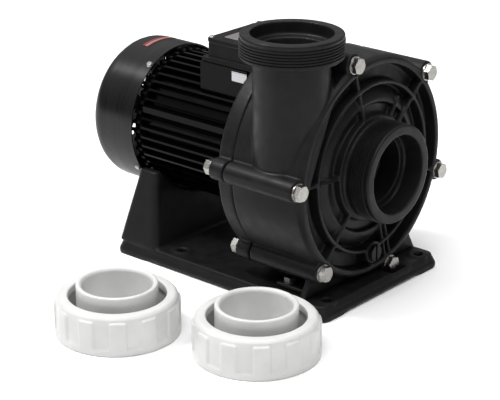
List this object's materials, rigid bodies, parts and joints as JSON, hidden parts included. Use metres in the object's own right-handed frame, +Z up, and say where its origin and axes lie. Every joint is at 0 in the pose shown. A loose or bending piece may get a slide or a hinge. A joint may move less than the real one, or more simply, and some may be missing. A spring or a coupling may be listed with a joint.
{
  "type": "pool pump",
  "caption": "Close-coupled plastic pool pump: finned motor on a moulded base, round bolted casing, threaded suction and discharge ports, and two loose white pipe unions.",
  "frame": {"origin": "centre of the base's underside, on the ground", "axes": "+X along the shaft towards the suction port, +Z up along the discharge port"},
  "size_m": [0.436, 0.4671, 0.3125],
  "materials": {
    "casing_plastic": "satin charcoal-black glass-filled plastic",
    "motor_paint": "gloss black paint on aluminium",
    "fan_cover_paint": "satin black paint on brushed sheet steel",
    "stainless": "stainless fasteners",
    "black_zinc": "dark zinc-plated fasteners",
    "rubber": "black rubber",
    "union_plastic": "white satin PVC",
    "impeller_plastic": "glass-filled plastic",
    "ring_plastic": "natural low-friction plastic",
    "ceramic": "ground ceramic",
    "carbon": "carbon graphite",
    "shaft_steel": "ground stainless shaft",
    "core_steel": "laminated electrical steel",
    "winding_copper": "varnished copper wire",
    "fan_plastic": "moulded plastic",
    "terminal_brass": "brass studs in moulded board",
    "capacitor_can": "light grey plastic can",
    "label_red": "red and white foil strip",
    "label_silver": "silver foil plate",
    "label_white": "white foil label"
  },
  "bodies": {
    "pump": {"base_plate": "casing_plastic", "motor_saddle_pad": "rubber", "volute_casing": "casing_plastic", "rear_bracket": "casing_plastic", "casing_bolts": "stainless", "front_washers": "stainless", "rear_washers": "stainless", "casing_nuts": "stainless", "foot_bolts": "black_zinc", "foot_washers": "black_zinc", "bracket_o_ring": "rubber", "wear_ring": "ring_plastic", "seal_seat": "ceramic", "seal_seat_cup": "rubber", "bearing_outer_rings": "shaft_steel", "wave_washer": "black_zinc", "stator_core": "core_steel", "stator_windings": "winding_copper", "motor_housing": "motor_paint", "front_end_shield": "motor_paint", "rear_end_shield": "motor_paint", "flange_bolts": "black_zinc", "fan_cover": "fan_cover_paint", "fan_cover_screws": "stainless", "terminal_box": "casing_plastic", "terminal_gasket": "rubber", "terminal_lid": "casing_plastic", "terminal_lid_screws": "stainless", "terminal_block": "terminal_brass", "capacitor": "capacitor_can", "cable_gland": "casing_plastic", "gland_nut": "casing_plastic", "fan_cover_label": "label_red", "lid_plate": "label_silver", "housing_label": "label_white"},
    "rotor": {"motor_shaft": "shaft_steel", "rotor_core": "core_steel", "impeller": "impeller_plastic", "impeller_nut": "stainless", "impeller_washer": "stainless", "seal_face": "carbon", "seal_spring": "stainless", "seal_collar": "rubber", "slinger": "rubber", "bearing_inner_rings": "shaft_steel", "bearing_balls": "shaft_steel", "cooling_fan": "fan_plastic"},
    "drain_seal": {"drain_o_ring": "rubber"},
    "drain_screw": {"drain_plug": "casing_plastic"},
    "left_tail": {"left_union_tailpiece": "union_plastic", "left_union_o_ring": "rubber"},
    "left_nut": {"left_union_nut": "union_plastic"},
    "right_tail": {"right_union_tailpiece": "union_plastic", "right_union_o_ring": "rubber"},
    "right_nut": {"right_union_nut": "union_plastic"}
  },
  "joints": [
    {"name": "rotor_spin", "type": "hinge", "parent": "pump", "child": "rotor", "pos_m": [0, 0, 0.147], "axis": [1, 0, 0], "continuous": true},
    {"name": "drain_out", "type": "slide", "parent": "pump", "child": "drain_seal", "axis": [1, 0, 0], "range_m": [0, 0.012]},
    {"name": "drain_turn", "type": "hinge", "parent": "drain_seal", "child": "drain_screw", "pos_m": [0.142, 0.00176, 0.04602], "axis": [1, 0, 0], "range_deg": [0, 2160]},
    {"name": "left_union_lift", "type": "slide", "parent": "pump", "child": "left_tail", "axis": [0, 0, 1], "range_m": [0, 0.09]},
    {"name": "left_nut_spin", "type": "hinge", "parent": "left_tail", "child": "left_nut", "pos_m": [-0.002, -0.261, 0.02], "axis": [0, 0, 1], "continuous": true},
    {"name": "right_union_lift", "type": "slide", "parent": "pump", "child": "right_tail", "axis": [0, 0, 1], "range_m": [0, 0.09]},
    {"name": "right_nut_spin", "type": "hinge", "parent": "right_tail", "child": "right_nut", "pos_m": [0.146, -0.205, 0.02], "axis": [0, 0, 1], "continuous": true}
  ],
  "couplings": [
    {"joint": "drain_out", "follows": "drain_turn", "m_per_rad": 0.00031831}
  ]
}
